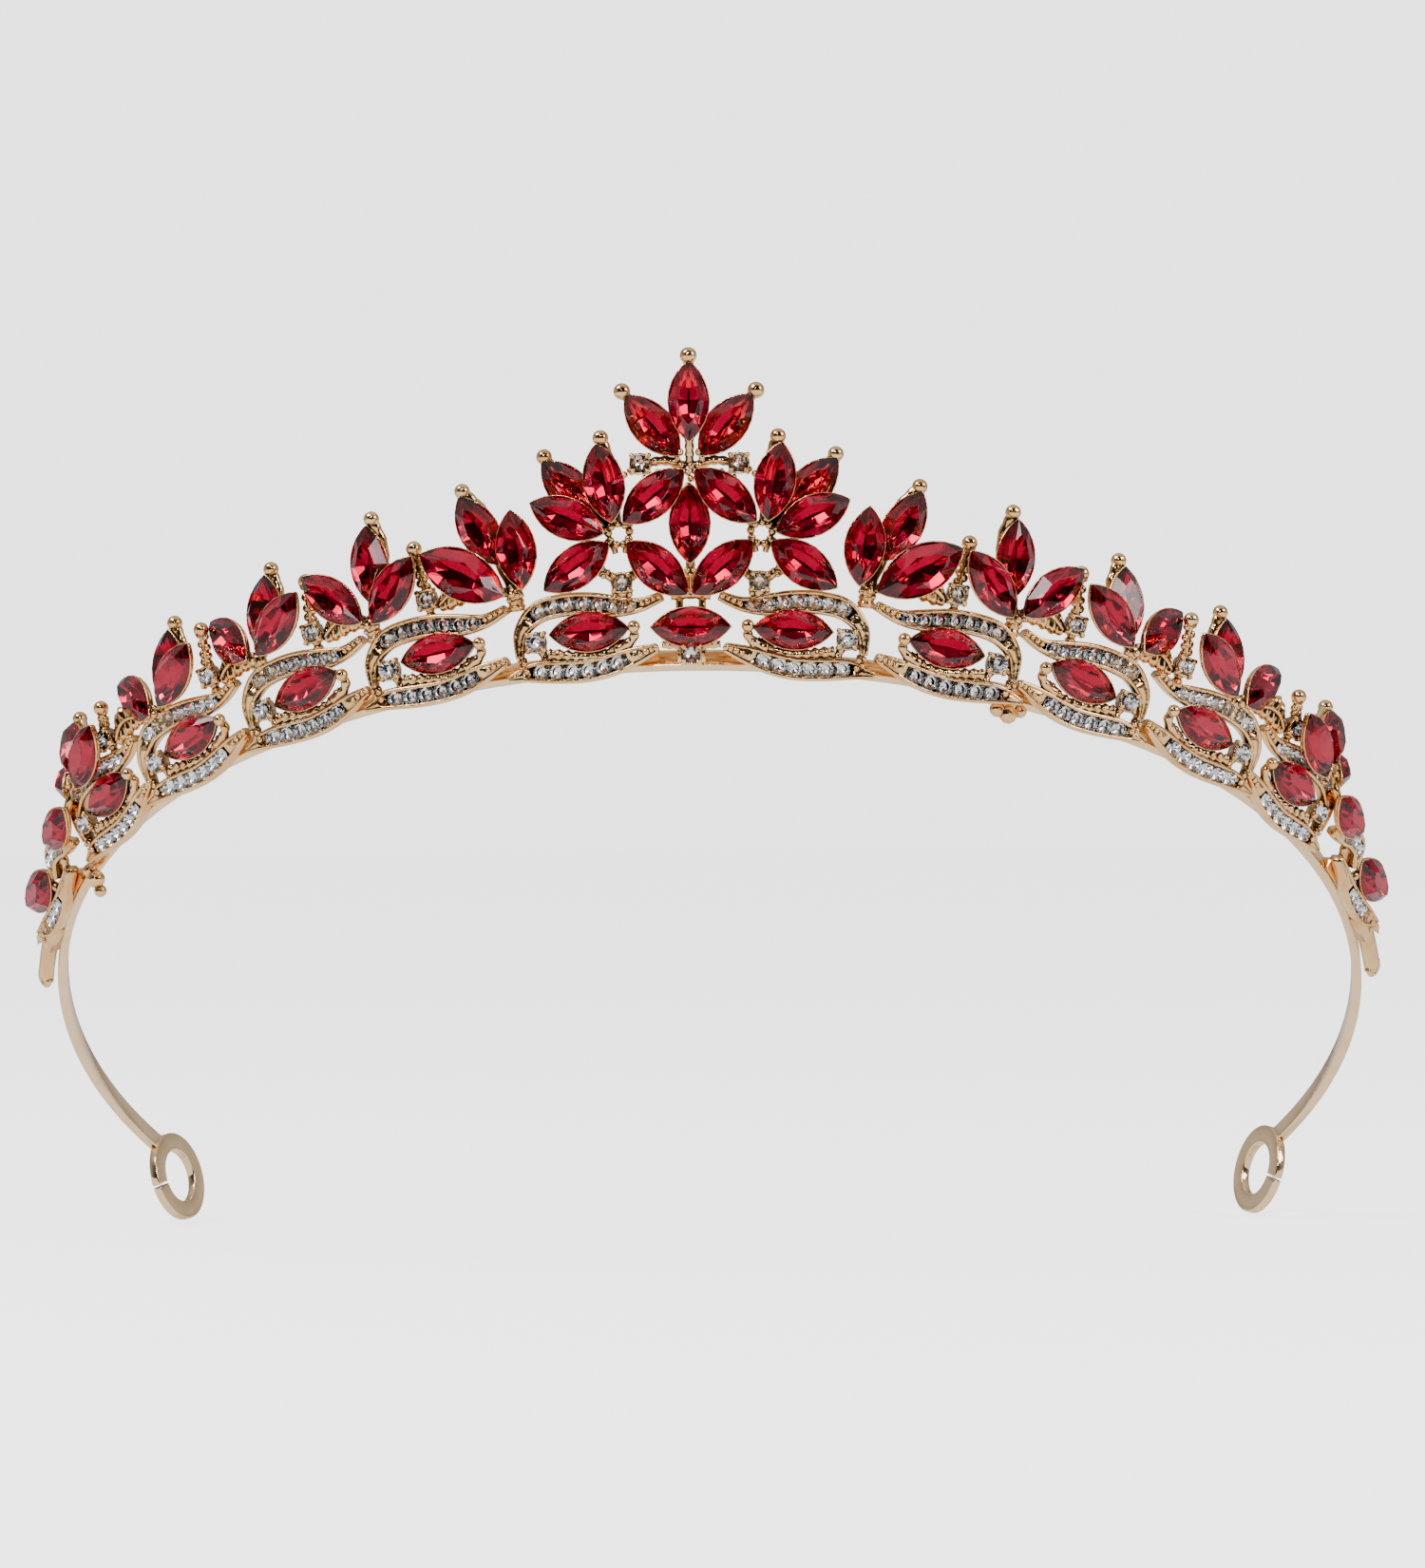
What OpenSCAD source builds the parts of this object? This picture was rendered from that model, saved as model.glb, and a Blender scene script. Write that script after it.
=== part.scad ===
// Tiara: a flat spring band with end loops, soldered vine castings, fans of marquise settings,
// marquise stones and small round stones. It stands as it is worn: the front is high and the ends
// are low. The origin is the middle of the head opening, +Z is up and the front faces -Y.

/* [Head band] */
// Radius of the front arc of the band
front_r = 88; // [86:0.5:90]
// Angle from the middle to the end of the front arc
front_end = 34; // [33:0.5:35]
// Radius of the side arcs
side_r = 62; // [60:0.5:64]
// Angle at which the side arc becomes the arm
side_end = 75; // [74:0.5:76]
// Radius of the arms
arm_r = 70; // [68:0.5:72]
// Angle at the end of each arm
arm_end = 116; // [112:1:118]
// Height of the flat band
band_h = 2.2; // [2:0.1:2.4]
// Thickness of the flat band
band_t = 1.1; // [1:0.1:1.2]
// How far the band's plane tips down towards the back
tilt = 36; // [30:1:40]

/* [End loops] */
// Outer diameter of each end loop
loop_d = 11; // [10:0.5:12]
// Hole diameter of each end loop
loop_hole = 6.5; // [6:0.5:7]
// How far the loop's middle lies below the band's middle
loop_drop = 2.2; // [1.5:0.1:2.6]

/* [Castings] */
// Outward lean of the ornament from the band
flare = 36; // [32:1:38]
// Thickness of the vine castings
plate_t = 1.2; // [1.1:0.1:1.3]
// Height of a marquise setting
cup_h = 0.8; // [0.7:0.05:0.9]
// Rim that a setting shows round its stone
cup_rim = 0.25; // [0.2:0.05:0.3]
// Diameter of the beads at the petal tips
bead_d = 1.7; // [1.5:0.1:1.8]

/* [Stones] */
// Length of the marquise stones
stone_l = 8.0; // [7.8:0.1:8.2]
// Width of the marquise stones
stone_w = 4.0; // [3.8:0.1:4.1]
// Diameter of the round stones in the leaves
chip_d = 1.5; // [1.4:0.05:1.55]
// Diameter of the single round stones
accent_d = 1.7; // [1.6:0.05:1.8]

/* [Hidden] */
SIDES = ["left", "right"];

GOLD = "#E8C48E";
RUBY = "#A00818";
CLEAR = "#DDE2E6";
ROD_FN = 8;       // sides of a rod
BEAD_FN = 10;     // sides of a bead
HOLE_FN = 12;     // sides of a small stone's hole
CHIP_FN = 16;     // facets round a small stone
BAND_STEPS = 48;  // straight pieces along each half of the band

// Lengths of the three arcs of the band, from the middle outwards
front_len = front_r * front_end * PI / 180;
side_len = side_r * (side_end - front_end) * PI / 180;
arm_len = arm_r * (arm_end - side_end) * PI / 180;
half_len = front_len + side_len + arm_len;

// Centres of the three arcs of the right half
function radial(angle) = [sin(angle), -cos(angle)];
front_c = [0, front_r];
side_c = front_c + (front_r - side_r) * radial(front_end);
arm_c = side_c + (side_r - arm_r) * radial(side_end);

// Heading and place of the band's outer face at a distance s from the middle, less than 0 on the left
function heading(s) =
    s < 0 ? -heading(-s) :
    s < front_len ? s / front_r * 180 / PI :
    s < front_len + side_len ? front_end + (s - front_len) / side_r * 180 / PI :
    side_end + (s - front_len - side_len) / arm_r * 180 / PI;
function plan(s) =
    s < 0 ? [-plan(-s)[0], plan(-s)[1]] :
    s < front_len ? front_c + front_r * radial(heading(s)) :
    s < front_len + side_len ? side_c + side_r * radial(heading(s)) :
    arm_c + arm_r * radial(heading(s));
band_depth = plan(half_len)[1];

// Rows along the ornament, as distances from the middle, with the turn of each stone
row_h = 4;
row_s = [0, 10.4, 26.4, 41.7, 57, 71.1, 91.6];
row_turn = [0, 0, -2, -10, -5, -2, 3];
// How far each vine casting is stretched to meet its neighbours
vine_k = [1, 1, 1.03, 1, 1, 0.92, 1];
row_lift = 0.5;

// A leaf is a smooth line through points [along, up, half width]
upper_leaf = [
    [7.6, -2.3, 0.2], [7.3, 0.4, 0.55], [5.4, 2.4, 0.95], [2.7, 3.0, 1.0],
    [-0.1, 2.95, 1.0], [-2.9, 2.45, 0.95], [-5.5, 2.35, 0.55], [-8.0, 3.1, 0.3]];
lower_leaf = [
    [8.9, -4.3, 0.12], [6.2, -3.85, 0.85], [3.4, -4.0, 1.0], [0.6, -4.1, 1.0],
    [-2.1, -3.7, 1.0], [-4.7, -2.95, 0.75], [-7.1, -2.3, 0.3]];
end_upper_leaf = [
    [-4.6, -1.4, 0.4], [-6.2, 0.2, 0.9], [-8.4, 0.1, 1.0], [-10.4, -0.8, 0.85], [-12.2, -1.6, 0.35]];
end_lower_leaf = [
    [6.4, -1.9, 0.15], [3.6, -2.9, 0.95], [0.8, -3.3, 1.0], [-2.0, -3.4, 0.9],
    [-5.0, -3.0, 0.5], [-8.2, -2.8, 0.3]];
// Where stones sit on a leaf: first place, step and count, in points of the line
upper_chips = [2.1, 0.575, 7];
lower_chips = [1.3, 0.6, 6];
end_upper_chips = [1.0, 0.75, 3];
end_lower_chips = [0.95, 0.65, 4];
accent_at = [5.75, -0.7];
bud_at = [-5.2, 0.9];

// Fans: hub [along, up], then petals [along, up, angle, length, width, lean, lift]
fan_hub = [[17.6, 8.6], [32.9, 8.3], [46.2, 8.4], [59.7, 7.9], [75.3, 7.7]];
big_l = 9.8;
big_w = 5;
high = 1.5;
fan_petals = [
    [[0.8, 0.1, 33, big_l, big_w, 0, high], [1.3, 3.5, 66, stone_l, stone_w, 0, 0],
     [-1.2, 0.5, 88, stone_l, stone_w, 0, high]],
    [[0.5, 0.6, 49, stone_l, stone_w, 0, high], [-0.6, 2.3, 98, stone_l, stone_w, 0, 0],
     [-0.6, 0.2, 136, stone_l, stone_w, 0, high]],
    [[0.5, 0.3, 50, stone_l, stone_w, -25, high], [-0.7, 0.8, 104, stone_l, stone_w, -12, 0],
     [-0.7, 0.6, 145, stone_l, stone_w, 0, high]],
    [[0.4, -0.1, 52, stone_l, stone_w, -25, high], [-0.9, 0.4, 111, stone_l, stone_w, -12, 0],
     [-1.1, 0.6, 149, stone_l, stone_w, 0, high]],
    [[1.3, -1.9, -10, stone_l - 1, stone_w - 0.3, -10, 2.3], [0.9, -0.2, 42, stone_l - 1, stone_w, -52, high],
     [-0.3, 0.2, 84, stone_l - 0.4, stone_w, -32, 0.4], [-1.4, -1.0, 152, stone_l, stone_w, 0, high]]];
// Which petal of each fan has a bead on a stem behind it
beaded = [1, 1, 1, 1, 2];
// Columns between the fans: [along, seat height, bead height, lean of the top along the band]
columns = [[26.6, 9.8, 15.4, 0.4], [39.4, 9.5, 15.0, -0.8], [52.4, 9.2, 14.2, -1.0], [68.0, 9.2, 12.4, -1.4]];

// Flower beside the middle, and the sprays on the middle line
flower_hub = [6.8, 14.0];
flower_petals = [
    [0.6, 1.2, 82, stone_l, stone_w, 0, high], [2.2, 1.8, 49, stone_l, stone_w, 0, 0],
    [1.5, 0.1, 26, stone_l, stone_w, 0, high], [1.0, -0.9, -33, stone_l, stone_w, 0, high],
    [-0.6, 1.1, 142, stone_l, stone_w, 0, high], [-0.9, -0.9, 224, stone_l, stone_w, 0, high]];
flower_beaded = [0, 1];
centre_petal = [0, 10.6, 90, stone_l, stone_w, 0, high];
peak_h = 21.4;
peak_petals = [
    [0, 23.4, 90, stone_l, stone_w, 0, high],
    [1.1, 22.0, 49, stone_l, stone_w, 0, high - 0.9], [-1.1, 22.0, 131, stone_l, stone_w, 0, high - 0.9]];
peak_seat = [5.2, 21.2];
flower_seat = [7.0, 8.9];
centre_seat = [0, 1.1];
seat_lift = 0.5;
seat_w = 2.3;

// Pads between the band and the castings, and knobs at their lower edge
pad_s = [0, 10.4, 26.4, 41.7, 57, 71.1, 86];
pad_w = 3;
// A knob of three beads on each side: [side, along the band, up, turn]
knobs = [["left", 81.5, -0.2, -90], ["right", 33.3, -1.2, 0]];
// Tab at the end of each row, as a strip from the end casting
tab_from = [3.6, -3.4];
tab_l = 10;
tab_w = 2.2;

// ---- helpers ----

function knot(p, i) = p[max(0, min(len(p) - 1, i))];
function spline(p, t) =
    let (i = floor(min(t, len(p) - 1.001)), f = t - i,
         a = knot(p, i - 1), b = knot(p, i), c = knot(p, i + 1), d = knot(p, i + 2))
    0.5 * (2 * b + (c - a) * f + (2 * a - 5 * b + 4 * c - d) * f * f + (3 * b - a - 3 * c + d) * f * f * f);
function stretched(p, k) = [for (q = p) [q[0] * k, q[1], q[2]]];
function flat_part(q) = [q[0], q[1]];
function side_point(p, t, way) =
    let (q = spline(p, t), d = flat_part(spline(p, t + 0.05) - spline(p, t - 0.05)), n = [-d[1], d[0]] / norm(d))
    flat_part(q) + way * q[2] * n;
function leaf_outline(p, steps = 4) =
    let (last = (len(p) - 1) * steps)
    concat([for (i = [0:last]) side_point(p, i / steps, 1)],
           [for (i = [last:-1:0]) side_point(p, i / steps, -1)]);
function chip_places(p, chips) = [for (i = [0:chips[2] - 1]) flat_part(spline(p, chips[0] + i * chips[1]))];

// The ornament as it is worn, from a shape drawn about the band's own plane
module worn() {
    rotate([-tilt, 0, 0]) translate([0, -band_depth / 2, 0]) children();
}
module on_side(side) {
    if (side == "left") mirror([1, 0, 0]) children();
    else children();
}
// 1 on the right and -1 on the left, and a petal as it is on that side
function way(side) = side == "left" ? -1 : 1;
function turned(p, k) = k < 0 ? [-p[0], p[1], 180 - p[2], p[3], p[4], p[5], p[6]] : p;
function all_turned(petals, k) = [for (p = petals) turned(p, k)];
// A place on the ornament: children lie flat with X along the band and Z outwards
module on_ornament(s, h = 0) {
    worn() translate([plan(s)[0], plan(s)[1], 0]) rotate([0, 0, heading(s)]) rotate([90 + flare, 0, 0])
        translate([0, h, 0]) children();
}
module rod(a, b, r) {
    d = b - a;
    translate(a) rotate([0, acos(d[2] / norm(d)), atan2(d[1], d[0])]) cylinder(h = norm(d), r = r, $fn = ROD_FN);
}
module bead(at, d = bead_d) {
    translate(at) sphere(d = d, $fn = BEAD_FN);
}
// Points round a pointed oval of two arcs, n steps along each
function marquise_ring(l, w, z, n = 4) =
    let (r = (l * l + w * w) / (4 * w))
    concat([for (i = [0:n - 1]) let (x = l / 2 * cos(180 * i / n)) [x, sqrt(r * r - x * x) - r + w / 2, z]],
           [for (i = [0:n - 1]) let (x = -l / 2 * cos(180 * i / n)) [x, -(sqrt(r * r - x * x) - r + w / 2), z]]);
module marquise(l, w) {
    polygon([for (q = marquise_ring(l, w, 0, 8)) flat_part(q)]);
}
// A marquise setting, with its stone's place sunk in the top
module cup(l, w) {
    floor_t = cup_h / 2;
    difference() {
        linear_extrude(cup_h) marquise(l + 3 * cup_rim, w + 2 * cup_rim);
        translate([0, 0, floor_t]) linear_extrude(cup_h) marquise(l - 1, w - 0.5);
    }
}
// A marquise stone that fills its cup and shows its girdle and table above the rim
module marquise_stone(l, w) {
    sides = 8;
    points = concat(
        marquise_ring(l - 1.7, w - 1.1, cup_h / 2 + 0.05), marquise_ring(l, w, cup_h + 0.03),
        marquise_ring(l, w, cup_h + 0.3), marquise_ring(l * 0.62, w * 0.52, cup_h + w * 0.27));
    faces = concat(
        [[for (i = [0:sides - 1]) i]],
        [for (k = [0:2], i = [0:sides - 1]) let (j = (i + 1) % sides, a = k * sides)
            [a + i, a + sides + i, a + sides + j, a + j]],
        [[for (i = [sides - 1:-1:0]) 3 * sides + i]]);
    polyhedron(points, faces, convexity = 4);
}
module petal(p) {
    translate([p[0], p[1], p[6]]) rotate([0, 0, p[2]]) rotate([0, -p[5], 0]) translate([p[3] / 2 + cup_rim, 0, 0])
        children();
}
function petal_tip(p, extra = 0) =
    let (l = p[3] + 2 * cup_rim + extra)
    [p[0] + l * cos(p[5]) * cos(p[2]), p[1] + l * cos(p[5]) * sin(p[2]), p[6] + l * sin(p[5])];
module petal_cups(petals) {
    for (p = petals) petal(p) cup(p[3], p[4]);
}
module petal_stones(petals) {
    for (p = petals) petal(p) marquise_stone(p[3], p[4]);
}
// A round stone whose girdle lies on the surface it is set in
module chip(d) {
    r = d / 2;
    rotate_extrude($fn = CHIP_FN) polygon([[0, -0.4], [r * 0.5, -0.4], [r, -0.1], [r, 0.08], [r * 0.55, 0.4], [0, 0.4]]);
}
module chip_holes(places, d, top) {
    // the polygon's flats clear the round stone
    for (q = places) translate([q[0], q[1], top - 0.5])
        cylinder(h = 1, r = (d / 2 + 0.02) / cos(180 / HOLE_FN), $fn = HOLE_FN);
}
module chips(places, d, top) {
    for (q = places) translate([q[0], q[1], top]) chip(d);
}
// A square seat with four corner prongs for a single round stone
module seat(at) {
    top = seat_lift + 1.0;
    prong_r = 0.3;
    difference() {
        union() {
            translate([at[0] - seat_w / 2, at[1] - seat_w / 2, 0]) cube([seat_w, seat_w, top]);
            for (x = [-1, 1], y = [-1, 1])
                rod([at[0] + x * seat_w / 2, at[1] + y * seat_w / 2, prong_r],
                    [at[0] + x * seat_w / 2, at[1] + y * seat_w / 2, top + prong_r], prong_r);
        }
        chip_holes([at], accent_d, top);
    }
}
module seat_stone(at) {
    chips([at], accent_d, seat_lift + 1.0);
}

// ---- band ----

function band_points(inset) =
    [for (i = [-BAND_STEPS:BAND_STEPS]) let (s = half_len * i / BAND_STEPS) plan(s) - inset * radial(heading(s))];
function reversed(list) = [for (i = [len(list) - 1:-1:0]) list[i]];
// The middle of a loop, drawn with X along the arm, Y up and Z outwards
module at_loop() {
    reach = sqrt(pow((loop_d - band_h) / 2, 2) - loop_drop * loop_drop);
    worn() translate([plan(half_len)[0], plan(half_len)[1], 0]) rotate([0, 0, arm_end]) rotate([90, 0, 0])
        translate([reach, band_h / 2 - loop_drop, 0]) children();
}
module end_loop(side) {
    slit = 0.25;
    color(GOLD) on_side(side) at_loop() difference() {
        translate([0, 0, -band_t]) cylinder(h = band_t, d = loop_d, $fn = 96);
        translate([0, 0, -2 * band_t]) cylinder(h = 3 * band_t, d = loop_hole, $fn = 96);
        rotate([0, 0, 222]) translate([0, -slit / 2, -2 * band_t]) cube([loop_d, slit, 3 * band_t]);
    }
}
module head_band() {
    color(GOLD) difference() {
        worn() linear_extrude(band_h) polygon(concat(band_points(0), reversed(band_points(band_t))));
        for (side = SIDES) on_side(side) at_loop()
            translate([0, 0, -3 * band_t]) cylinder(h = 6 * band_t, d = loop_d, $fn = 96);
    }
}
// Wedges that fill the corner between the upright band and the leaning castings
module solder_pads() {
    low = 0.3;
    high_end = band_h - 0.2;
    outline = [[0, low], [0, high_end], [-sin(flare) * high_end, cos(flare) * high_end],
               [-sin(flare) * low, cos(flare) * low]];
    color(GOLD) for (side = SIDES, s = pad_s) if (s > 0 || side == "right")
        on_side(side) on_ornament(s) translate([pad_w / 2, 0, 0]) rotate([0, -90, 0])
            linear_extrude(pad_w) polygon(outline);
}
module solder_knobs() {
    color(GOLD) for (k = knobs) on_side(k[0]) on_ornament(k[1], k[2]) rotate([0, 0, k[3]]) {
        bead([0, 0, 0.4], 1.8);
        bead([1.3, -0.3, 0.5], 2.1);
        bead([2.6, 0.3, 0.4], 1.5);
    }
}

// ---- vine ----

// Stones are smaller where a casting is shortened, so that they don't touch
function chip_size(i) = chip_d * min(1, vine_k[i]);
module leaf_plate(p, chips, d) {
    difference() {
        linear_extrude(plate_t) polygon(leaf_outline(p));
        chip_holes(chip_places(p, chips), d, plate_t);
    }
}
module row_cup(i) {
    translate([0, 0, row_lift]) rotate([0, 0, row_turn[i]]) cup(stone_l, stone_w);
}
module vine(side, i) {
    upper = i == 6 ? end_upper_leaf : stretched(upper_leaf, vine_k[i]);
    lower = i == 6 ? end_lower_leaf : stretched(lower_leaf, vine_k[i]);
    color(GOLD) on_side(side) on_ornament(row_s[i], row_h) {
        leaf_plate(upper, i == 6 ? end_upper_chips : upper_chips, chip_size(i));
        leaf_plate(lower, i == 6 ? end_lower_chips : lower_chips, chip_size(i));
        row_cup(i);
        if (i == 6) end_tab();
        else {
            seat(accent_at);
            rod([-3.5, 0.2, 0.6], [bud_at[0], bud_at[1], 1.2], 0.5);
            bead([bud_at[0], bud_at[1], 1.3], 1.2);
            rod([accent_at[0], accent_at[1], 0.5], [7.4 * vine_k[i], -1.6, 0.5], 0.5);
            rod([accent_at[0] - 0.3, accent_at[1] - 0.8, 0.5], [4.6, -3.6, 0.5], 0.5);
        }
    }
}
// Plain tail that runs on past the end casting beside the arm, and the strut that ties the end
// casting's two leaves together
module end_tab() {
    translate([tab_from[0], tab_from[1] - tab_w / 2, 0]) cube([tab_l - tab_w / 2, tab_w, 1.1]);
    translate([tab_from[0] + tab_l - tab_w / 2, tab_from[1], 0]) cylinder(h = 1.1, d = tab_w, $fn = 32);
    rod([-8.6, 0, 0.55], [-6.8, -2.9, 0.55], 0.5);
    rod([-5, -1.2, 0.55], [-3.4, -0.2, 0.8], 0.5);
    rod([-3.4, -3.2, 0.55], [-2.6, -0.6, 0.8], 0.5);
}
module vine_stones(side, i) {
    upper = i == 6 ? end_upper_leaf : stretched(upper_leaf, vine_k[i]);
    lower = i == 6 ? end_lower_leaf : stretched(lower_leaf, vine_k[i]);
    color(CLEAR) on_side(side) on_ornament(row_s[i], row_h) {
        chips(chip_places(upper, i == 6 ? end_upper_chips : upper_chips), chip_size(i), plate_t);
        chips(chip_places(lower, i == 6 ? end_lower_chips : lower_chips), chip_size(i), plate_t);
        if (i < 6) seat_stone(accent_at);
    }
}
module row_stones() {
    color(RUBY) for (side = SIDES, i = [0:6]) if (i > 0 || side == "right")
        on_side(side) on_ornament(row_s[i], row_h) translate([0, 0, row_lift])
            rotate([0, 0, row_turn[i]]) marquise_stone(stone_l, stone_w);
}
// Setting of the middle stone, with the links that meet the vine on both sides
module centre_vine() {
    color(GOLD) on_ornament(0) {
        translate([0, row_h, 0]) row_cup(0);
        seat(centre_seat);
        for (x = [-1, 1]) {
            rod([0, 2.0, 0.5], [x * 2.9, 2.2, 0.5], 0.4);
            rod([0, 7.4, 0.5], [x * 2.0, 7.2, 0.5], 0.4);
            rod([x * 1.2, 7.3, 0.5], [x * 1.2, 5.9, 0.7], 0.4);
        }
        rod([0, 1.8, 0.5], [0, 2.4, 0.7], 0.5);
    }
}

// ---- fans and sprays ----

// A stem that runs behind a petal and ends in a bead just past its tip
module beaded_stem(p, from, k) {
    tip = petal_tip(p, 0.5) + [-0.5 * k, 0.1, 0.3];
    rod(from, tip, 0.45);
    bead(tip);
}
// Rods from a hub into the foot of each petal
module petal_rods(petals, from) {
    for (p = petals) let (foot = [p[0], p[1], p[6]])
        rod(from, foot + [0, 0, 0.15] + 0.09 * (petal_tip(p) - foot), 0.5);
}
// The last fan leans the most, and is mirrored whole
module fan(side, i) {
    if (i == 5) on_side(side) fan_casting(1, i);
    else fan_casting(way(side), i);
}
module fan_casting(k, i) {
    hub = fan_hub[i - 1];
    petals = all_turned(fan_petals[i - 1], k);
    color(GOLD) on_ornament(k * hub[0], hub[1]) {
        petal_cups(petals);
        bead([0, 0.2, 1.2], 2.2);
        rod([0, 0, 0.9], [0, -1.4, 0.7], 0.8);
        petal_rods(petals, [0, 0.2, 1.0]);
        beaded_stem(petals[beaded[i - 1]], [-0.3 * k, 0.6, 0.6], k);
    }
    if (i > 1) color(GOLD) column(columns[i - 2], k);
}
module column(c, k) {
    on_ornament(k * c[0]) {
        seat([0, c[1]]);
        rod([0, 7.2, 0.5], [0, c[1], 0.5], 0.45);
        rod([0, c[1], 0.5], [k * c[3], c[2], 0.9], 0.45);
        bead([k * c[3], c[2], 1.0]);
        translate([-2.6 * k, c[1] - 0.6, 0]) linear_extrude(0.9) marquise(4.2, 1.9);
    }
}
module fan_stones(side, i) {
    k = way(side);
    color(RUBY) on_ornament(k * fan_hub[i - 1][0], fan_hub[i - 1][1])
        petal_stones(all_turned(fan_petals[i - 1], k));
}
module flower(side) {
    k = way(side);
    petals = all_turned(flower_petals, k);
    color(GOLD) on_ornament(k * flower_hub[0], flower_hub[1]) {
        petal_cups(petals);
        bead([0, 0, 1.2], 2.4);
        petal_rods(petals, [0, 0, 1.0]);
        for (i = flower_beaded) beaded_stem(petals[i], [0, 0.3, 0.6], k);
        translate([0, -flower_hub[1], 0]) {
            seat([0, flower_seat[1]]);
            rod([0, 7.0, 0.5], [0, flower_seat[1], 0.5], 0.45);
            rod([0, flower_seat[1], 0.5], [0, flower_hub[1], 0.9], 0.45);
        }
    }
}
module flower_stones(side) {
    k = way(side);
    color(RUBY) on_ornament(k * flower_hub[0], flower_hub[1]) petal_stones(all_turned(flower_petals, k));
}
module centre_spray() {
    color(GOLD) on_ornament(0) {
        petal_cups([centre_petal]);
        rod([0, 7.9, 0.5], [0, 12, 1.6], 0.5);
    }
}
module centre_stone() {
    color(RUBY) on_ornament(0) petal_stones([centre_petal]);
}
module peak_spray() {
    color(GOLD) on_ornament(0) {
        petal_cups(peak_petals);
        bead([0, peak_h, 1.0], 2.4);
        rod([0, peak_h, 0.6], [0, 24.5, 1.6], 0.5);
        for (p = peak_petals) {
            tip = petal_tip(p, 0.6) + [0, 0, 0.5];
            bead(tip);
            rod(petal_tip(p, -0.8), tip, 0.5);
        }
        for (x = [-1, 1]) {
            seat([x * peak_seat[0], peak_seat[1]]);
            rod([0, peak_h, 0.5], [x * peak_seat[0], peak_seat[1], 0.5], 0.45);
        }
    }
}
module peak_stones() {
    color(RUBY) on_ornament(0) petal_stones(peak_petals);
}
module accent_stones() {
    color(CLEAR) {
        on_ornament(0) seat_stone(centre_seat);
        for (side = SIDES) on_side(side) {
            on_ornament(0) seat_stone(peak_seat);
            on_ornament(flower_hub[0]) seat_stone([0, flower_seat[1]]);
            for (c = columns) on_ornament(c[0]) seat_stone([0, c[1]]);
        }
    }
}

head_band();
solder_pads();
solder_knobs();
centre_vine();
centre_spray();
peak_spray();
centre_stone();
peak_stones();
row_stones();
accent_stones();
for (side = SIDES) {
    end_loop(side);
    flower(side);
    flower_stones(side);
    for (i = [1:6]) {
        vine(side, i);
        vine_stones(side, i);
    }
    for (i = [1:5]) {
        fan(side, i);
        fan_stones(side, i);
    }
}
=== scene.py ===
"""Looks of the tiara: detailed stones, settings, leaves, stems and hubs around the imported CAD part.

Shapes are drawn in millimetres in a local frame on the ornament, with X along the band away from
the middle, Y up the ornament and Z outwards. The frames come from the CAD stones and band.
"""

import itertools
import math

import bmesh
import bpy
import numpy as np
from mathutils import Matrix, Vector


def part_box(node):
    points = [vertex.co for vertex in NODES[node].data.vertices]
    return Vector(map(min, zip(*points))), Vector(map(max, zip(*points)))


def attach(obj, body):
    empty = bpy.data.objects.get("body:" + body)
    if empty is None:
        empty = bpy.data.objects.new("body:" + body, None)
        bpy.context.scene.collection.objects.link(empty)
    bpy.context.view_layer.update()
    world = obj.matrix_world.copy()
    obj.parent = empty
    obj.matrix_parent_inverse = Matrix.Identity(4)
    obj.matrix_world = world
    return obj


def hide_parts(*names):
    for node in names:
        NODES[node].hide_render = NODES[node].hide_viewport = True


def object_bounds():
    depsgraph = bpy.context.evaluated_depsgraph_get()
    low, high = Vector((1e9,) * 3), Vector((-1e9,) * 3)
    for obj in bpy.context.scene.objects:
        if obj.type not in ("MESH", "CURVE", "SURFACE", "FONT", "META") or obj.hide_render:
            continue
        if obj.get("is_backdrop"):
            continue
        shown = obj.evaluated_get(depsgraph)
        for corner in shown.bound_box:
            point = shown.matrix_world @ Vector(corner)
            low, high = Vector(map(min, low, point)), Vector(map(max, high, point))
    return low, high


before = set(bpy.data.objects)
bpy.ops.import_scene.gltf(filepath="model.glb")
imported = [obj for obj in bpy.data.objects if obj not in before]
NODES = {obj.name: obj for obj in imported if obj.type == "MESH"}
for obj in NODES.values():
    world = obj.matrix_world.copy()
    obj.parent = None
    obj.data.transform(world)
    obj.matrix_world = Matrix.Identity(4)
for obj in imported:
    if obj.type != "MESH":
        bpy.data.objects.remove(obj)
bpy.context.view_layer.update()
SIDES = {"left": -1, "right": 1}
MM = 0.001


# ---- reading the frame ----


def loose_parts(name):
    """The separate solids of a CAD node, each as an array of its points in metres."""
    bm = bmesh.new()
    bm.from_mesh(NODES[name].data)
    bmesh.ops.remove_doubles(bm, verts=bm.verts, dist=1e-6)
    seen, parts = set(), []
    for start in bm.verts:
        if start in seen:
            continue
        seen.add(start)
        stack, points = [start], []
        while stack:
            v = stack.pop()
            points.append(v.co[:])
            for e in v.link_edges:
                w = e.other_vert(v)
                if w not in seen:
                    seen.add(w)
                    stack.append(w)
        parts.append(np.array(points))
    bm.free()
    return parts


def main_axes(points):
    """Middle of some points, and their axes from the longest spread to the shortest."""
    middle = (points.max(0) + points.min(0)) / 2
    spread = points - points.mean(0)
    _, vectors = np.linalg.eigh(spread.T @ spread)
    return middle, vectors.T[::-1]


def unit(v):
    return v / np.linalg.norm(v)


def band_up():
    """Upward normal of the band's own plane."""
    points = np.concatenate(loose_parts("head_band"))
    normal = main_axes(points)[1][2]
    return normal * np.sign(normal[2])


UP = band_up()


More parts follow.
